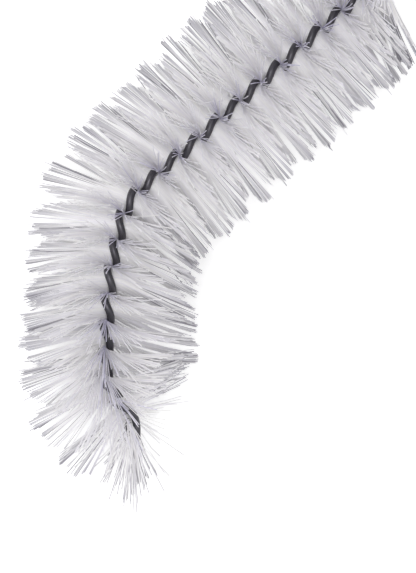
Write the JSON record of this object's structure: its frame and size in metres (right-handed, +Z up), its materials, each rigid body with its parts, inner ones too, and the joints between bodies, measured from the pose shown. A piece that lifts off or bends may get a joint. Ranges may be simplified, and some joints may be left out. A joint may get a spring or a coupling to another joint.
{
  "type": "bottle brush",
  "caption": "Bottle brush: a twisted wire stem with a hanging loop, gripping nylon bristles in spiral fans up to a splayed end tuft; the bristled end is bent by use.",
  "frame": {"origin": "on the floor, under the middle of the brush's bounding box, as the brush lies on its side", "axes": "+X along the straight handle, from the bristles towards the hanging loop; +Z up; the bends lie in the XY plane, and the tuft's end turns towards -Y"},
  "size_m": [0.2761, 0.0928, 0.0487],
  "materials": {
    "wire": "dull dark grey drawn steel wire",
    "bristles": "milky translucent white nylon"
  },
  "bodies": {
    "root": {"wire_stem": "wire", "bristle_fan_01": "bristles", "bristle_fan_02": "bristles", "bristle_fan_03": "bristles", "bristle_fan_04": "bristles", "bristle_fan_05": "bristles", "bristle_fan_06": "bristles", "bristle_fan_07": "bristles", "bristle_fan_08": "bristles", "bristle_fan_09": "bristles", "bristle_fan_10": "bristles", "bristle_fan_11": "bristles", "bristle_fan_12": "bristles", "bristle_fan_13": "bristles", "bristle_fan_14": "bristles", "bristle_fan_15": "bristles", "bristle_fan_16": "bristles", "bristle_fan_17": "bristles", "bristle_fan_18": "bristles", "bristle_fan_19": "bristles", "bristle_fan_20": "bristles", "bristle_fan_21": "bristles", "end_tuft": "bristles"}
  },
  "joints": []
}
